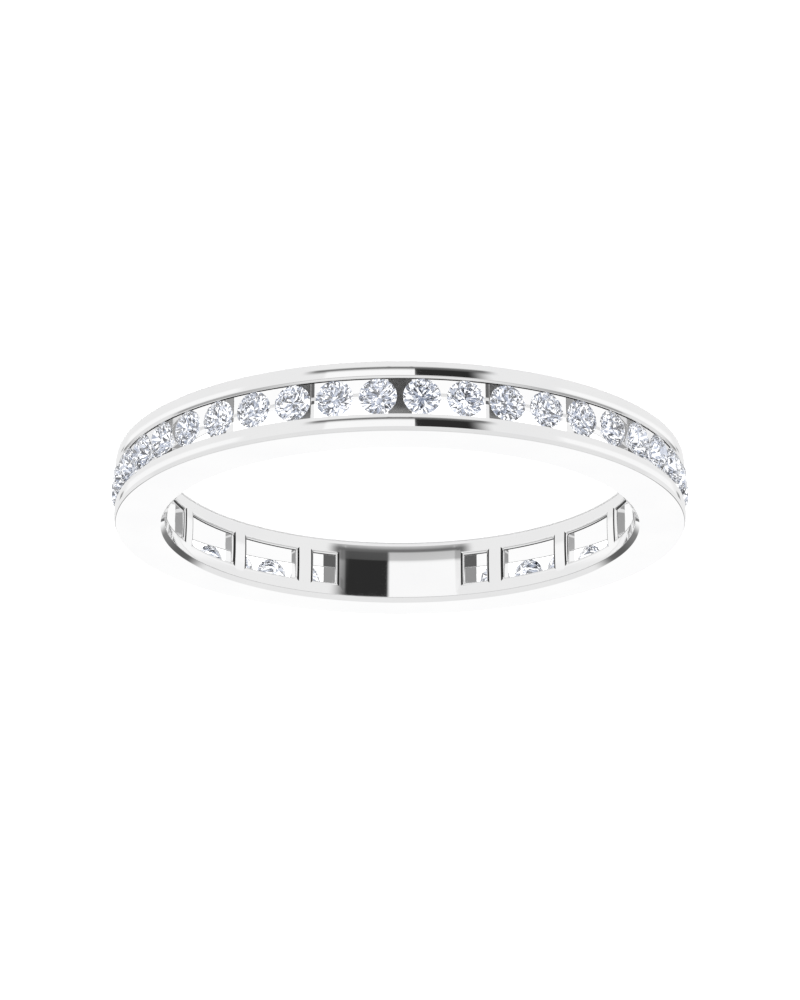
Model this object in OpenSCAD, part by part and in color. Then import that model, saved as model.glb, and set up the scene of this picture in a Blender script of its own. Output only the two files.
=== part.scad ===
// Channel-set stacking ring: one cast band with a row of round brilliants, lying on its side.
// The ring's axis is Z. The middle of the row of stones points to -Y and the plain stretch to +Y.

/* [Band] */
// Inside diameter, where the finger goes
finger_d = 17.35; // [15.5:0.05:20]
// Wall from the finger hole to the tops of the rails
wall_t = 1.93; // [1.92:0.01:2.2]
// Width of the band along the finger
band_w = 2.51; // [2.45:0.01:3]
// Small chamfer at both ends of the finger hole
bore_chamfer = 0.16; // [0.05:0.01:0.18]
// Bevel along the outer edge of each rail, measured across the rail
bevel_w = 0.15; // [0.05:0.01:0.16]
// The same bevel, measured down from the top of the rail
bevel_depth = 0.05; // [0.03:0.01:0.1]
// How far the bars and the plain stretch bulge past the rails, towards the finger
comfort_bulge = 0.02; // [0.01:0.005:0.04]

/* [Channel] */
// Clear width of the channel between the two rails
channel_w = 1.28; // [1.26:0.01:1.29]
// Width of the channel at the tops of the rails, across the inner bevels
mouth_w = 1.46; // [1.4:0.01:1.5]
// Depth of the inner bevels
mouth_depth = 0.04; // [0.03:0.005:0.045]
// How far the seat is cut into each wall for the edges of the stones
seat_cut = 0.032; // [0.03:0.001:0.04]
// Edges of the stones below the tops of the rails
stone_sink = 0.10; // [0.1:0.005:0.2]

/* [Stones] */
// Diameter of each stone
stone_d = 1.30; // [1.28:0.01:1.31]
// Stones on each side of the middle
stones_per_side = 20; // [4:1:20]
// Angle from one stone to the next
stone_pitch = 8.12; // [8:0.02:8.14]
// Table across, as a share of the diameter
table_share = 0.57; // [0.52:0.01:0.62]
// Slope of the crown in degrees
crown_slope = 34.5; // [32:0.5:36]
// Slope of the pavilion in degrees
pavilion_slope = 40.8; // [40:0.2:42]
// Thickness of the girdle
girdle_t = 0.03; // [0.02:0.005:0.035]

/* [Gallery] */
// Bars on each side of the one in the middle
bars_per_side = 7; // [2:1:7]
// Angle from one bar to the next
bar_pitch = 22.24; // [22:0.04:22.24]
// Width of a bar around the ring
bar_w = 0.79; // [0.5:0.01:1]
// Thickness of a bar
bar_t = 0.45; // [0.3:0.01:0.5]
// Width of the windows along the finger
window_w = 1.16; // [1.1:0.02:1.2]

/* [Hidden] */
// Angle from the middle to each end of the channel
channel_reach = 162.7;
// Angle from the middle to the last bar, which stands a little closer than the others
last_bar = 154;
bore_r = finger_d / 2;
top_r = bore_r + wall_t;
mid_z = band_w / 2;
girdle_r = top_r - stone_sink;
floor_r = bore_r + bar_t;
bar_half_angle = bar_w / 2 / bore_r * 180 / PI;
seat_half_h = 0.025;
seat_slope_h = 0.025;
past = 0.3;
bulge_inset = 0.02;
bulge_half_w = window_w / 2 - bulge_inset;
rail_bore_r = bore_r + comfort_bulge;
mouth_lean = 0.02;
stone_count = 2 * stones_per_side;
stone_twist = 45 * 0.618;
star_reach = 0.5;
lower_half_reach = 0.77;
function stone_name(i) = str("stone_", i < 10 ? "0" : "", i);

// Angle of a stone from the middle of the row
function stone_angle(i) = (i - stones_per_side - 0.5) * stone_pitch;

// Angle of a bar from the middle of the row
function bar_angle(k) = k < bars_per_side ? k * bar_pitch : last_bar;

// Cross-section of the whole wall, as radius and height
module wall_section() {
    polygon([
        [rail_bore_r, bore_chamfer],
        [rail_bore_r + bore_chamfer, 0],
        [top_r - bevel_depth, 0],
        [top_r, bevel_w],
        [top_r, band_w - bevel_w],
        [top_r - bevel_depth, band_w],
        [rail_bore_r + bore_chamfer, band_w],
        [rail_bore_r, band_w - bore_chamfer],
        [rail_bore_r, mid_z + bulge_half_w],
        [bore_r, mid_z + bulge_half_w],
        [bore_r, mid_z - bulge_half_w],
        [rail_bore_r, mid_z - bulge_half_w]
    ]);
}

// Half of the channel's cross-section, from the floor up to the mouth, as radius and half width
function channel_side() = [
    [floor_r, channel_w / 2],
    [girdle_r - seat_half_h - seat_slope_h, channel_w / 2],
    [girdle_r - seat_half_h, channel_w / 2 + seat_cut],
    [girdle_r + seat_half_h, channel_w / 2 + seat_cut],
    [girdle_r + seat_half_h + seat_slope_h, channel_w / 2],
    [top_r - mouth_depth, channel_w / 2 + mouth_lean],
    [top_r, mouth_w / 2],
    [top_r + past, mouth_w / 2]
];

module channel_section() {
    side = channel_side();
    last = len(side) - 1;
    polygon(concat(
        [for (p = side) [p[0], mid_z + p[1]]],
        [for (i = [0 : last]) [side[last - i][0], mid_z - side[last - i][1]]]
    ));
}

// Turns a cross-section around the ring's axis, from one angle to another, both from -Y towards +X
module turn(from, to) {
    rotate([0, 0, from - 90])
        rotate_extrude(angle = to - from, $fn = 180)
            children();
}

// One opening from the finger hole into the channel
module window(from, to) {
    turn(from, to)
        translate([bore_r - past, mid_z - window_w / 2])
            square([bar_t + 2 * past, window_w]);
}

// The cast band: two rails, the bars that join them and the plain stretch
module band() {
    color([0.90, 0.90, 0.92])
        difference() {
            rotate_extrude($fn = 180)
                wall_section();
            turn(-channel_reach, channel_reach)
                channel_section();
            for (side = [-1, 1])
                for (k = [0 : bars_per_side]) {
                    near_edge = bar_angle(k) + bar_half_angle;
                    far_edge = k < bars_per_side ? bar_angle(k + 1) - bar_half_angle : channel_reach;
                    window(min(side * near_edge, side * far_edge), max(side * near_edge, side * far_edge));
                }
        }
}

// A point at a radius, an angle and a height
function at(r, a, z) = [r * cos(a), r * sin(a), z];

// A round brilliant with its table up and the middle of its girdle at the origin
module brilliant() {
    r = stone_d / 2;
    table_r = r * table_share;
    half_g = girdle_t / 2;
    crown_top = half_g + (r - table_r) * tan(crown_slope);
    star_r = table_r + (r - table_r) * star_reach;
    star_z = crown_top - (star_r * cos(22.5) - table_r) * tan(crown_slope);
    low_r = r * (1 - lower_half_reach);
    low_z = -half_g - (r - low_r * cos(22.5)) * tan(pavilion_slope);
    culet_z = -half_g - r * tan(pavilion_slope);
    points = concat(
        [for (i = [0 : 7]) at(table_r, 45 * i, crown_top)],
        [for (i = [0 : 7]) at(star_r, 45 * i + 22.5, star_z)],
        [for (i = [0 : 15]) at(r, 22.5 * i, half_g)],
        [for (i = [0 : 15]) at(r, 22.5 * i, -half_g)],
        [for (i = [0 : 7]) at(low_r, 45 * i + 22.5, low_z)],
        [[0, 0, culet_z]]
    );
    star = 8;
    upper = 16;
    lower = 32;
    half = 48;
    culet = 56;
    faces = concat(
        [[for (i = [0 : 7]) 7 - i]],
        [for (i = [0 : 7]) [i, (i + 1) % 8, star + i]],
        [for (i = [0 : 7]) [i, star + i, upper + 2 * i, star + (i + 7) % 8]],
        [for (i = [0 : 7]) [star + i, upper + 2 * i + 1, upper + 2 * i]],
        [for (i = [0 : 7]) [star + i, upper + (2 * i + 2) % 16, upper + 2 * i + 1]],
        [for (i = [0 : 15]) [upper + i, upper + (i + 1) % 16, lower + (i + 1) % 16, lower + i]],
        [for (i = [0 : 7]) [half + i, lower + 2 * i, lower + 2 * i + 1]],
        [for (i = [0 : 7]) [half + i, lower + 2 * i + 1, lower + (2 * i + 2) % 16]],
        [for (i = [0 : 7]) [culet, half + (i + 7) % 8, lower + 2 * i, half + i]]
    );
    polyhedron(points, faces);
}

// One stone in its seat, with its table outwards
module stone(i) {
    color([0.93, 0.95, 1.0, 0.6])
        rotate([0, 0, stone_angle(i)])
            translate([0, -girdle_r, mid_z])
                rotate([90, 0, 0])
                    rotate([0, 0, stone_twist * i])
                        brilliant();
}

band();
for (i = [1 : stone_count])
    stone(i);
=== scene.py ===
import math

import bpy
from mathutils import Matrix, Vector


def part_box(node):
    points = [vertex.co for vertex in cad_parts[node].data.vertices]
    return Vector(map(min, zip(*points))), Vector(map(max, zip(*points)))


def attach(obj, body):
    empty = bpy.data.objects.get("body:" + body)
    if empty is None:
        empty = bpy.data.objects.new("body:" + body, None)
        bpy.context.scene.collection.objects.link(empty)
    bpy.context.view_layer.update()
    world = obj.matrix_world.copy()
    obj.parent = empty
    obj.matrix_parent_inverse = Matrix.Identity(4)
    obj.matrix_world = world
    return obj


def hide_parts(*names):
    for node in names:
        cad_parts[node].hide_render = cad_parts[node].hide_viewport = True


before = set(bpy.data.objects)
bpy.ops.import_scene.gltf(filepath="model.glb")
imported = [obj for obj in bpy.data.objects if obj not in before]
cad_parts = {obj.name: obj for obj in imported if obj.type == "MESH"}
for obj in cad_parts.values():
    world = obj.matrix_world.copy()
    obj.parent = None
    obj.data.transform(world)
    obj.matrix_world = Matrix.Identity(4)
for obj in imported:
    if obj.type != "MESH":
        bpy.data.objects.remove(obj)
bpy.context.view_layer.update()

bpy.ops.object.select_all(action="DESELECT")
mm = 0.001

# Camera.
# It looks at the middle of the ring from 19.4 degrees above the floor, and it is rolled half a turn,
# because the ring lies on its side here and stands upright in the photograph.
ring_low, ring_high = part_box("band")
ring_middle = (ring_low + ring_high) / 2
camera_distance = 100 * mm
camera_off_axis = math.radians(70.577)
camera_lens = 96.35
camera_data = bpy.data.cameras.new("camera")
camera_data.lens = camera_lens
camera_data.clip_start = 1 * mm
camera_data.clip_end = 10
camera = bpy.data.objects.new("camera", camera_data)
bpy.context.scene.collection.objects.link(camera)
toward_camera = Vector((0, -math.sin(camera_off_axis), math.cos(camera_off_axis)))
camera_right = Vector((-1, 0, 0))
camera_up = toward_camera.cross(camera_right)
camera.matrix_world = Matrix.Translation(ring_middle + camera_distance * toward_camera) @ Matrix(
    (camera_right, camera_up, toward_camera)
).transposed().to_4x4()
bpy.context.scene.camera = camera

# Floor.
# A plain sheet of matt white paper under the ring, wide enough to fill the view from any side.
# The metal and the stones don't show it.
floor_size = 4
paper_tone = 0.92
bpy.ops.mesh.primitive_plane_add(size=floor_size, location=(0, 0, 0))
floor = bpy.context.object
floor.name = "floor"
floor_paper = bpy.data.materials.new("white_paper")
floor_paper.use_nodes = True
floor_shader = floor_paper.node_tree.nodes["Principled BSDF"]
floor_shader.inputs["Base Color"].default_value = (paper_tone, paper_tone, paper_tone, 1)
floor_shader.inputs["Roughness"].default_value = 1
floor_shader.inputs["Specular IOR Level"].default_value = 0
floor.data.materials.append(floor_paper)
floor.visible_glossy = False
floor.visible_transmission = False

# Studio.
# Soft light walls all round, with the dark doorway, the white board and the grey cards that the polished
# metal shows. The stones show small bright flags in their place, and behind the ring all is plain white.
world = bpy.data.worlds.new("studio")
world.use_nodes = True
bpy.context.scene.world = world
studio = world.node_tree
studio.nodes.clear()


def number(operation, *values):
    """One step of arithmetic in the world's shader, on plain numbers or on what other nodes give."""
    node = studio.nodes.new("ShaderNodeMath")
    node.operation = operation
    for socket, value in zip(node.inputs, values):
        if isinstance(value, (int, float)):
            socket.default_value = value
        else:
            studio.links.new(value, socket)
    return node.outputs[0]


def rises(value, start, end):
    """0 up to the start and 1 past the end. With the start past the end it falls instead."""
    node = studio.nodes.new("ShaderNodeMapRange")
    node.interpolation_type = "SMOOTHSTEP"
    studio.links.new(value, node.inputs["Value"])
    node.inputs["From Min"].default_value = start
    node.inputs["From Max"].default_value = end
    return node.outputs[0]


def between(value, low, high, soft):
    """1 from low to high and 0 outside. Each edge fades from `soft` before it to `soft` past it."""
    return number("MULTIPLY", rises(value, low - soft, low + soft), rises(value, high + soft, high - soft))


def blended(share, dark, light):
    """The first value where the share is 0, and the second where it is 1."""
    return number("ADD", dark, number("MULTIPLY", share, number("SUBTRACT", light, dark)))


def light_of(tone):
    """The strength of light that a picture shows as this tone, from 0 to 255, by the sRGB curve."""
    share = tone / 255
    return ((share + 0.055) / 1.055) ** 2.4


# Places are in degrees: the side is counted from -Y towards -X, and the height from the horizon.
degrees = 180 / math.pi
direction = studio.nodes.new("ShaderNodeTexCoord")
parts = studio.nodes.new("ShaderNodeSeparateXYZ")
studio.links.new(direction.outputs["Generated"], parts.inputs[0])
along_x, along_y, along_z = parts.outputs
height = number("MULTIPLY", number("ARCSINE", along_z), degrees)
side = number(
    "MULTIPLY",
    number("ARCTAN2", number("MULTIPLY", along_x, -1), number("MULTIPLY", along_y, -1)),
    degrees,
)
apart = number("ABSOLUTE", side)

# Above the horizon the tone changes with the distance from -Y, the same on both sides. Higher up there is a
# light ceiling, and just above the horizon a light strip that leaves the part round +Y free.
upper_tones = ((0, 125), (30, 160), (79, 170), (122, 140), (145, 95), (158, 130), (167, 258))
ceiling_tone = 236
strip_tone = 232
upper = light_of(upper_tones[0][1])
for (start, _), (end, tone) in zip(upper_tones, upper_tones[1:]):
    upper = blended(rises(apart, start, end), upper, light_of(tone))
upper = blended(rises(height, 27, 36), upper, light_of(ceiling_tone))
strip = number("MULTIPLY", rises(height, 19, 16), rises(apart, 140, 120))
upper = blended(strip, upper, light_of(strip_tone))

# Below the horizon the walls are light. The end faces of the windows beside the plain stretch show a grey
# card on each side, and the bars show a white one.
lower_tone = 240
end_card_tone = 150
bar_card_tone = 254
end_card = number("MULTIPLY", between(apart, 144.5, 149.5, 1), between(height, -19, -16.5, 0.5))
lower = blended(end_card, light_of(lower_tone), light_of(end_card_tone))
bar_card = number("MULTIPLY", between(apart, 65, 140, 4), between(height, -20.5, -13.5, 1))
lower = blended(bar_card, lower, light_of(bar_card_tone))

# A grey ground, a white board and a dark doorway stand round -Y. The plain stretch and the rails show them.
ground_tone = 112
board_tone = 255
doorway_tone = 45
ground_height = number("MULTIPLY", rises(height, -30, -26), rises(height, -20.5, -25.6))
ground = number("MULTIPLY", rises(apart, 40, 32), ground_height)
lower = blended(ground, lower, light_of(ground_tone))
board_height = number("MULTIPLY", rises(height, -25.6, -20.5), rises(height, 4, 0))
board = number("MULTIPLY", between(side, -29, 6, 1), board_height)
lower = blended(board, lower, light_of(board_tone))
doorway_width = number("MULTIPLY", rises(side, 5, 7), rises(side, 37, 26))
doorway = number("MULTIPLY", doorway_width, between(height, -24.7, 2, 2))
lower = blended(doorway, lower, light_of(doorway_tone))
room = blended(rises(height, -1, 1), lower, upper)

# The flags are cells of four tones, from nearly black to white.
flag_scale = 7
flag_gain = 1.6
black_flag = (0.01, 0.012, 0.02, 1)
dark_flag = (0.2, 0.23, 0.3, 1)
grey_flag = (0.4, 0.43, 0.5, 1)
white_flag = (1, 1, 1, 1)
dark_from = 0.28
grey_from = 0.42
white_from = 0.6
flags = studio.nodes.new("ShaderNodeTexVoronoi")
flags.inputs["Scale"].default_value = flag_scale
studio.links.new(direction.outputs["Generated"], flags.inputs["Vector"])
flag_parts = studio.nodes.new("ShaderNodeSeparateColor")
studio.links.new(flags.outputs["Color"], flag_parts.inputs["Color"])
sparkle = studio.nodes.new("ShaderNodeValToRGB")
sparkle.color_ramp.interpolation = "CONSTANT"
sparkle.color_ramp.elements[0].color = black_flag
sparkle.color_ramp.elements[1].position = white_from
sparkle.color_ramp.elements[1].color = white_flag
for place, colour in ((dark_from, dark_flag), (grey_from, grey_flag)):
    sparkle.color_ramp.elements.new(place).color = colour
studio.links.new(flag_parts.outputs["Red"], sparkle.inputs["Fac"])
brighter = studio.nodes.new("ShaderNodeVectorMath")
brighter.operation = "SCALE"
brighter.inputs["Scale"].default_value = flag_gain
studio.links.new(sparkle.outputs["Color"], brighter.inputs[0])

# Inputs 6 and 7 of a mix of colours are its two colours, and output 2 is the mixed one.
seen_directly = studio.nodes.new("ShaderNodeLightPath")
through_stones = studio.nodes.new("ShaderNodeMix")
through_stones.data_type = "RGBA"
studio.links.new(seen_directly.outputs["Is Transmission Ray"], through_stones.inputs["Factor"])
studio.links.new(blended(seen_directly.outputs["Is Camera Ray"], room, 1), through_stones.inputs[6])
studio.links.new(brighter.outputs[0], through_stones.inputs[7])
background = studio.nodes.new("ShaderNodeBackground")
studio.links.new(through_stones.outputs[2], background.inputs["Color"])
world_output = studio.nodes.new("ShaderNodeOutputWorld")
studio.links.new(background.outputs[0], world_output.inputs["Surface"])

# A wide soft lamp overhead lights the floor. The metal and the stones don't show it.
lamp_strength = 5
lamp_spread = math.radians(120)
lamp_data = bpy.data.lights.new("ceiling", "SUN")
lamp_data.energy = lamp_strength
lamp_data.angle = lamp_spread
lamp = bpy.data.objects.new("ceiling", lamp_data)
bpy.context.scene.collection.objects.link(lamp)
lamp.visible_glossy = False
lamp.visible_transmission = False

scene = bpy.context.scene
scene.view_settings.view_transform = "Standard"
scene.view_settings.look = "None"
# Light may pass many times through a stone and between the walls of the channel.
scene.cycles.max_bounces = 24
scene.cycles.glossy_bounces = 12
scene.cycles.transmission_bounces = 24
scene.cycles.caustics_reflective = True
scene.cycles.caustics_refractive = True

# Band.
# One piece of polished white gold: two rails with a channel between them, an open gallery of short bars and
# a plain closed stretch. It is modelled flat, as a strip, a thousand times life size, and then rolled up.
# The sizes are in millimetres, and lengths round the ring are taken along the finger hole.
bore_radius = 8.675
land_crown = 0.0065
full_wall = 1.93
wall = full_wall - land_crown
width = 2.51
bar_thickness = 0.45
bar_width = 0.79
bar_pitch = math.radians(22.24) * bore_radius
even_bars = 6
last_bar = math.radians(154) * bore_radius
channel_half = 0.64
window_half = 0.58
channel_end = math.radians(162.7) * bore_radius
half_turn = math.pi * bore_radius
stone_sink = 0.10
girdle_depth = full_wall - stone_sink
seat_half = 0.025
seat_slope = 0.025
seat_cut = 0.032
seat_rows = (
    (girdle_depth - seat_half - seat_slope, channel_half),
    (girdle_depth - seat_half, channel_half + seat_cut),
    (girdle_depth + seat_half, channel_half + seat_cut),
    (girdle_depth + seat_half + seat_slope, channel_half),
)
mouth_depth = 0.04
mouth_half = 0.73
mouth_lean = 0.02
mouth_rows = ((wall - mouth_depth, channel_half + mouth_lean), (wall, mouth_half))
bevel_width = 0.15
bevel_depth = 0.05
bore_chamfer = 0.16
bore_dome_radius = 13
bore_drop = width * width / 8 / bore_dome_radius
rail_edges = (
    (wall, width / 2 - bevel_width),
    (wall - bevel_depth, width / 2),
    (bore_drop + bore_chamfer, width / 2),
)
window_rounding = 0.14
edge_rounding = 0.02
# Rows are distances from the middle of the width, where the strip is cut to take a curve.
bore_dome_rows = (0, 0.16, 0.32, 0.48)
bore_outer_rows = (0.78, 0.88)
land_rows = (0.79, 0.8525, 0.9175, 0.9825, 1.045)
step = math.radians(0.69) * bore_radius
sharp_corner = math.radians(70)
close = 0.0005
near = 0.005

# The polished metal comes first on the band, then three darker, rougher metals that hold painted shade and
# painted dark reflections: on the seats, on the floor of the channel and along the brinks of the windows.
painted_dark_metals = (
    ("painted_shade_seat", 0.05, 0.4),
    ("painted_reflection_channel_floor", 0.3, 0.2),
    ("painted_reflection_window_brink", 0.05, 0.3),
)
# Slots of the darker metals: painted shade on the seats, painted dark reflections on the floor of the
# channel and on the brinks of the windows.
seat_shade_index = 1
floor_reflection_index = 2
brink_reflection_index = 3
unevenness = 0.2
white_gold = bpy.data.materials.new("polished_white_gold")
white_gold.use_nodes = True
gold = white_gold.node_tree
gold_shader = gold.nodes["Principled BSDF"]
gold_shader.inputs["Metallic"].default_value = 1
band_place = gold.nodes.new("ShaderNodeTexCoord")
cloud = gold.nodes.new("ShaderNodeTexNoise")
cloud.inputs["Scale"].default_value = 400
cloud.inputs["Detail"].default_value = 3
gold.links.new(band_place.outputs["Object"], cloud.inputs["Vector"])
gold_tone = gold.nodes.new("ShaderNodeValToRGB")
gold_tone.color_ramp.elements[0].position = 0.3
gold_tone.color_ramp.elements[0].color = (0.93, 0.93, 0.935, 1)
gold_tone.color_ramp.elements[1].position = 0.7
gold_tone.color_ramp.elements[1].color = (0.955, 0.955, 0.955, 1)
gold.links.new(cloud.outputs["Fac"], gold_tone.inputs["Fac"])
gold.links.new(gold_tone.outputs["Color"], gold_shader.inputs["Base Color"])
gloss = gold.nodes.new("ShaderNodeMapRange")
gloss.inputs["To Min"].default_value = 0.02
gloss.inputs["To Max"].default_value = 0.06
gold.links.new(cloud.outputs["Fac"], gloss.inputs["Value"])
gold.links.new(gloss.outputs["Result"], gold_shader.inputs["Roughness"])
metals = [white_gold]
for name, colour, roughness in painted_dark_metals:
    darker = (1 - unevenness) * colour
    lighter = (1 + unevenness) * colour
    painted_dark = bpy.data.materials.new(name)
    painted_dark.use_nodes = True
    painted_dark_metal = painted_dark.node_tree
    painted_dark_shader = painted_dark_metal.nodes["Principled BSDF"]
    painted_dark_shader.inputs["Metallic"].default_value = 1
    painted_dark_place = painted_dark_metal.nodes.new("ShaderNodeTexCoord")
    painted_dark_mottle = painted_dark_metal.nodes.new("ShaderNodeTexNoise")
    painted_dark_mottle.inputs["Scale"].default_value = 6000
    painted_dark_metal.links.new(painted_dark_place.outputs["Object"], painted_dark_mottle.inputs["Vector"])
    painted_dark_tone = painted_dark_metal.nodes.new("ShaderNodeValToRGB")
    painted_dark_tone.color_ramp.elements[0].color = (darker, darker, darker, 1)
    painted_dark_tone.color_ramp.elements[1].color = (lighter, lighter, lighter, 1)
    painted_dark_metal.links.new(painted_dark_mottle.outputs["Fac"], painted_dark_tone.inputs["Fac"])
    painted_dark_metal.links.new(painted_dark_tone.outputs["Color"], painted_dark_shader.inputs["Base Color"])
    painted_dark_gloss = painted_dark_metal.nodes.new("ShaderNodeMapRange")
    painted_dark_gloss.inputs["To Min"].default_value = (1 - unevenness) * roughness
    painted_dark_gloss.inputs["To Max"].default_value = (1 + unevenness) * roughness
    painted_dark_metal.links.new(painted_dark_mottle.outputs["Fac"], painted_dark_gloss.inputs["Value"])
    painted_dark_metal.links.new(painted_dark_gloss.outputs["Result"], painted_dark_shader.inputs["Roughness"])
    metals.append(painted_dark)


def choose(kind, test):
    """Selects the faces, edges or vertices in edit mode whose middle and direction pass the test."""
    bpy.ops.mesh.select_mode(type=kind)
    bpy.ops.mesh.select_all(action="DESELECT")
    bpy.ops.object.mode_set(mode="OBJECT")
    mesh = bpy.context.object.data
    if kind == "FACE":
        for face in mesh.polygons:
            face.select = test(face.center, face.normal)
    elif kind == "EDGE":
        for edge in mesh.edges:
            a, b = (mesh.vertices[i].co for i in edge.vertices)
            edge.select = test((a + b) / 2, (b - a).normalized())
    else:
        for vertex in mesh.vertices:
            vertex.select = test(vertex.co, vertex.normal)
    bpy.ops.object.mode_set(mode="EDIT")


def cut(place, across):
    """Cuts the selected faces by a plane and keeps both sides."""
    bpy.ops.mesh.bisect(plane_co=place, plane_no=across, threshold=close / 10)


def same(a, b):
    """True for two lengths that differ by no more than rounding."""
    return abs(a - b) < close


def cast_strip(name, length, window_from, window_to, solid_from):
    """A flat stretch of the band with one window, which stays open at both ends.

    X runs round the ring, -Y outwards and Z along the finger. Past solid_from there is no channel.
    """
    bpy.ops.object.select_all(action="DESELECT")
    bpy.ops.mesh.primitive_cube_add(size=1, location=(length / 2, -bar_thickness / 2, 0))
    strip = bpy.context.object
    strip.name = name
    strip.scale = (length, bar_thickness, width)
    bpy.ops.object.transform_apply(location=True, rotation=True, scale=True)
    for metal in metals:
        strip.data.materials.append(metal)
    bpy.ops.object.mode_set(mode="EDIT")

    # The ends stay open, because they join the next stretch.
    choose("FACE", lambda at, way: abs(way.x) > 0.5)
    bpy.ops.mesh.delete(type="ONLY_FACE")

    # The rim round the window is as wide as half a bar, so that its rounding meets evenly at the corners.
    rim = bar_width / 2
    for side_of_rim in (window_half + rim, -window_half - rim):
        choose("FACE", lambda at, way: way.y > 0.5)
        cut((0, 0, side_of_rim), (0, 0, 1))
    if length - window_to - rim > close:
        choose("FACE", lambda at, way: way.y > 0.5 and abs(at.z) < close)
        cut((window_to + rim, 0, 0), (1, 0, 0))
    choose("FACE", lambda at, way: way.y > 0.5 and abs(at.z) < close and at.x < window_to)
    bpy.ops.mesh.inset(thickness=rim, depth=0)

    # The same window on the side of the channel.
    for place in (window_from, window_to):
        choose("FACE", lambda at, way: way.y < -0.5)
        cut((place, 0, 0), (1, 0, 0))
    for place in (window_half, -window_half, channel_half, -channel_half):
        choose("FACE", lambda at, way: way.y < -0.5)
        cut((0, 0, place), (0, 0, 1))
    middle = (window_from + window_to) / 2
    choose("FACE", lambda at, way: abs(way.y) > 0.5 and same(at.z, 0) and same(at.x, middle))
    bpy.ops.mesh.bridge_edge_loops()

    # The rails, and the plain stretch between them past the end of the channel.
    choose("FACE", lambda at, way: way.y < -0.5 and (abs(at.z) > channel_half or at.x > solid_from))
    bpy.ops.mesh.extrude_region_move(TRANSFORM_OT_translate={"value": (0, bar_thickness - wall, 0)})
    choose("FACE", lambda at, way: abs(way.x) > 0.5 and (same(at.x, 0) or same(at.x, length)))
    bpy.ops.mesh.delete(type="ONLY_FACE")
    bpy.ops.mesh.select_all(action="SELECT")
    bpy.ops.mesh.delete_loose(use_verts=True, use_edges=True, use_faces=False)

    # The seat for the edges of the stones, and the mouth of the channel.
    rows = seat_rows + mouth_rows
    for depth, half in rows[:-1]:
        choose("FACE", lambda at, way: at.y < -bar_thickness - close and abs(at.z) < channel_half + close)
        cut((0, -depth, 0), (0, 1, 0))
    for depth, half in rows:
        choose("VERT", lambda at, way: same(at.y, -depth) and same(abs(at.z), channel_half))
        bpy.ops.transform.resize(value=(1, 1, half / channel_half))

    # The side towards the finger bulges a little across its width.
    for row in bore_dome_rows:
        for place in {row, -row}:
            bpy.ops.mesh.select_all(action="SELECT")
            cut((0, 0, place), (0, 0, 1))
    for row in bore_outer_rows:
        for place in (row, -row):
            choose("FACE", lambda at, way: same(at.y, 0) and abs(at.z) > window_half)
            cut((0, 0, place), (0, 0, 1))
    for row in bore_dome_rows + bore_outer_rows + (window_half, window_half + rim, width / 2):
        choose("VERT", lambda at, way: same(at.y, 0) and same(abs(at.z), row))
        bpy.ops.transform.translate(value=(0, -row * row / 2 / bore_dome_radius, 0))

    # The rounded rim of the window.
    choose(
        "EDGE",
        lambda at, way: at.y > -bore_drop and abs(at.z) < window_half + close
        and (same(at.x, window_from) or same(at.x, window_to) or same(abs(at.z), window_half))
        and window_from - close < at.x < window_to + close,
    )
    bpy.ops.mesh.bevel(offset=window_rounding, segments=8, profile=0.5)

    # The brink of the window gets a painted dark reflection, a line of near-black metal: along both long
    # sides where the rounding ends, and at both ends where it starts. The limits say how far a face leans
    # towards the opening, from 0 to 1.
    end_lean = (0.03, 0.58)
    side_lean = (0.85, 0.995)
    square_to_edge = 0.05

    def on_painted_reflection(at, way):
        in_rim = (
            abs(at.z) < window_half + window_rounding
            and window_from - window_rounding < at.x < window_to + window_rounding
        )
        on_rounding = way.y > square_to_edge and abs(way.x * way.z) < square_to_edge
        towards_opening = way.x if at.x < middle else -way.x
        at_end = end_lean[0] < towards_opening < end_lean[1]
        at_side = side_lean[0] < abs(way.z) < side_lean[1]
        return in_rim and on_rounding and (at_end or at_side)

    choose("FACE", on_painted_reflection)
    bpy.context.object.active_material_index = brink_reflection_index
    bpy.ops.object.material_slot_assign()

    # The bevels along the rails, and the soft edges that polishing leaves.
    choose("EDGE", lambda at, way: same(at.y, -wall) and same(abs(at.z), width / 2))
    bpy.ops.mesh.bevel(offset=bevel_width, segments=1)
    choose("VERT", lambda at, way: same(at.y, bevel_width - wall) and same(abs(at.z), width / 2))
    bpy.ops.transform.translate(value=(0, bevel_depth - bevel_width, 0))
    choose("EDGE", lambda at, way: at.y > -bore_drop - close and same(abs(at.z), width / 2))
    bpy.ops.mesh.bevel(offset=bore_chamfer, segments=1)
    choose(
        "EDGE",
        lambda at, way: abs(way.x) > 0.9
        and (
            any(same(at.y, -depth) and same(abs(at.z), half) for depth, half in rail_edges)
            or at.x < solid_from
            and same(at.y, -wall) and same(abs(at.z), mouth_half)
            or at.y > -bore_drop and abs(abs(at.z) - width / 2 + bore_chamfer) < near
        ),
    )
    bpy.ops.mesh.bevel(offset=edge_rounding, segments=3, profile=0.5)
    choose(
        "EDGE",
        lambda at, way: abs(way.z) > 0.9
        and (
            same(at.y, -wall) and same(at.x, solid_from)
            or same(at.y, -bar_thickness) and abs(at.z) < channel_half
        ),
    )
    bpy.ops.mesh.bevel(offset=edge_rounding, segments=3, profile=0.5)

    # The lands of the rails are rounded a little by the polish.
    land_middle = land_rows[2]
    land_half = land_middle - mouth_half
    for row in land_rows:
        for place in (row, -row):
            choose("FACE", lambda at, way: same(at.y, -wall) and abs(at.z) > mouth_half)
            cut((0, 0, place), (0, 0, 1))
    for row in land_rows:
        choose("VERT", lambda at, way: same(at.y, -wall) and same(abs(at.z), row))
        crown = land_crown * (1 - ((row - land_middle) / land_half) ** 2)
        bpy.ops.transform.translate(value=(0, -crown, 0))

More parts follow.
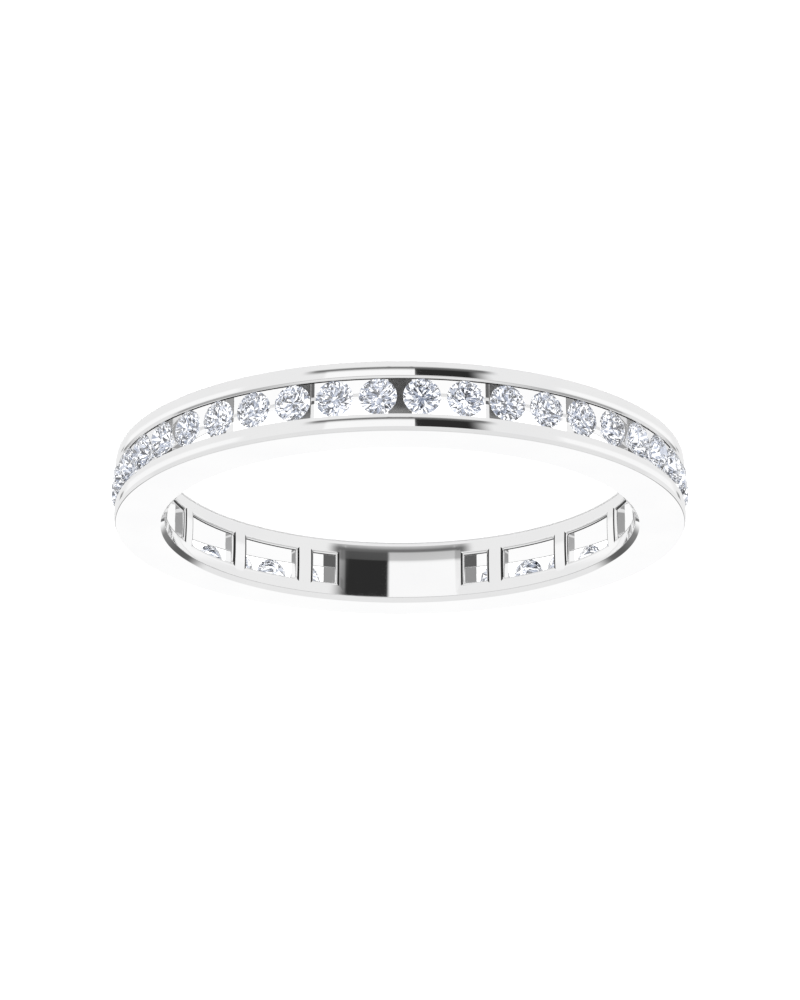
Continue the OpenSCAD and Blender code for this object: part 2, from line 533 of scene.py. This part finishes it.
    # Even steps round the ring, so that it rolls up smoothly.
    steps = round(length / step)
    for i in range(1, steps):
        bpy.ops.mesh.select_all(action="SELECT")
        cut((length * i / steps, 0, 0), (1, 0, 0))
    bpy.ops.object.mode_set(mode="OBJECT")
    return strip


window_stretch = cast_strip(
    "window_stretch", bar_pitch, bar_width / 2, bar_pitch - bar_width / 2, 2 * bar_pitch
)
last_even_bar = even_bars * bar_pitch
short_length = last_bar - last_even_bar
short_stretch = cast_strip(
    "short_stretch", short_length, bar_width / 2, short_length - bar_width / 2, 2 * bar_pitch
)
end_window = channel_end - last_bar
end_stretch = cast_strip("end_stretch", half_turn - last_bar, bar_width / 2, end_window, end_window)


def copied(strip, place, mirrored=False):
    """A copy of a strip, moved to its place along X. A mirrored one runs the other way from there."""
    copy = bpy.data.objects.new(strip.name + "_copy", strip.data.copy())
    bpy.context.scene.collection.objects.link(copy)
    turned = Matrix.Diagonal((-1, 1, 1, 1)) if mirrored else Matrix.Identity(4)
    copy.data.transform(Matrix.Translation((place, 0, 0)) @ turned)
    if mirrored:
        copy.data.flip_normals()
    return copy


strips = [copied(window_stretch, k * bar_pitch) for k in range(-even_bars, even_bars)]
strips += [copied(short_stretch, last_even_bar), copied(short_stretch, -last_even_bar, mirrored=True)]
strips += [copied(end_stretch, last_bar), copied(end_stretch, -last_bar, mirrored=True)]
bpy.data.objects.remove(window_stretch)
bpy.data.objects.remove(short_stretch)
bpy.data.objects.remove(end_stretch)
bpy.ops.object.select_all(action="DESELECT")
for strip in strips:
    strip.select_set(True)
band = strips[0]
bpy.context.view_layer.objects.active = band
bpy.ops.object.join()
band.name = "polished_band"
band.visible_transmission = False
bpy.ops.object.mode_set(mode="EDIT")
bpy.ops.mesh.select_all(action="SELECT")
bpy.ops.mesh.remove_doubles(threshold=close / 5)
bpy.ops.object.mode_set(mode="OBJECT")

roll = band.modifiers.new("roll", "SIMPLE_DEFORM")
roll.deform_method = "BEND"
roll.deform_axis = "Z"
roll.angle = 2 * math.pi
bpy.ops.object.modifier_apply(modifier=roll.name)
bpy.ops.object.mode_set(mode="EDIT")
bpy.ops.mesh.select_all(action="SELECT")
bpy.ops.mesh.remove_doubles(threshold=close / 5)
bpy.ops.mesh.normals_make_consistent(inside=False)
bpy.ops.mesh.faces_shade_smooth()

# The square corners inside the windows and the channel stay sharp.
bpy.ops.mesh.select_mode(type="EDGE")
bpy.ops.mesh.select_all(action="DESELECT")
bpy.ops.mesh.edges_select_sharp(sharpness=sharp_corner)
bpy.ops.mesh.mark_sharp()
bpy.ops.object.mode_set(mode="OBJECT")
even = band.modifiers.new("even", "WEIGHTED_NORMAL")
even.weight = 100
even.thresh = 0.003
even.keep_sharp = True
bpy.ops.object.modifier_apply(modifier=even.name)
band.location = (0, -bore_radius * mm, width / 2 * mm)
band.scale = (mm, mm, mm)
bpy.ops.object.transform_apply(location=True, rotation=True, scale=True)

# The lower slopes of the seats get painted shade in near-black metal, and the floor of the channel a
# painted dark reflection in grey metal.
for face in band.data.polygons:
    across = abs(face.center.z / mm - width / 2)
    depth = face.center.xy.length / mm - bore_radius
    in_seat = channel_half < across < channel_half + seat_cut
    if in_seat and girdle_depth - seat_half - seat_slope < depth < girdle_depth - seat_half:
        face.material_index = seat_shade_index
    elif across < channel_half + close and same(depth, bar_thickness):
        face.material_index = floor_reflection_index
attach(band, "root")
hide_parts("band")

# Stones.
# Forty round brilliants of diamond, held by their edges in the seats of the channel.
# They keep the frame's own facets, and only their material is made here.
diamond = bpy.data.materials.new("brilliant_cut_diamond")
diamond.use_nodes = True
ice = diamond.node_tree
ice_shader = ice.nodes["Principled BSDF"]
ice_shader.inputs["Transmission Weight"].default_value = 1
ice_shader.inputs["IOR"].default_value = 2.417
ice_shader.inputs["Roughness"].default_value = 0
stone_place = ice.nodes.new("ShaderNodeTexCoord")
tint = ice.nodes.new("ShaderNodeTexNoise")
tint.inputs["Scale"].default_value = 1500
ice.links.new(stone_place.outputs["Object"], tint.inputs["Vector"])
ice_tone = ice.nodes.new("ShaderNodeValToRGB")
ice_tone.color_ramp.elements[0].position = 0.35
ice_tone.color_ramp.elements[0].color = (0.93, 0.95, 1, 1)
ice_tone.color_ramp.elements[1].position = 0.6
ice_tone.color_ramp.elements[1].color = (1, 1, 1, 1)
ice.links.new(tint.outputs["Fac"], ice_tone.inputs["Fac"])
ice.links.new(ice_tone.outputs["Color"], ice_shader.inputs["Base Color"])

# The metal mirrors the studio and not the stones. The depth is 0 for a ray that hasn't entered a stone.
ray = ice.nodes.new("ShaderNodeLightPath")
not_inside = ice.nodes.new("ShaderNodeMath")
not_inside.operation = "LESS_THAN"
not_inside.inputs[1].default_value = 0.5
ice.links.new(ray.outputs["Transmission Depth"], not_inside.inputs[0])
seen_by_metal = ice.nodes.new("ShaderNodeMath")
seen_by_metal.operation = "MULTIPLY"
ice.links.new(ray.outputs["Is Glossy Ray"], seen_by_metal.inputs[0])
ice.links.new(not_inside.outputs[0], seen_by_metal.inputs[1])
clear = ice.nodes.new("ShaderNodeBsdfTransparent")
chosen = ice.nodes.new("ShaderNodeMixShader")
ice.links.new(seen_by_metal.outputs[0], chosen.inputs[0])
ice.links.new(ice_shader.outputs[0], chosen.inputs[1])
ice.links.new(clear.outputs[0], chosen.inputs[2])
ice.links.new(chosen.outputs[0], ice.nodes["Material Output"].inputs["Surface"])

for name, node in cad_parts.items():
    if name.startswith("stone_"):
        node.data.materials.clear()
        node.data.materials.append(diamond)
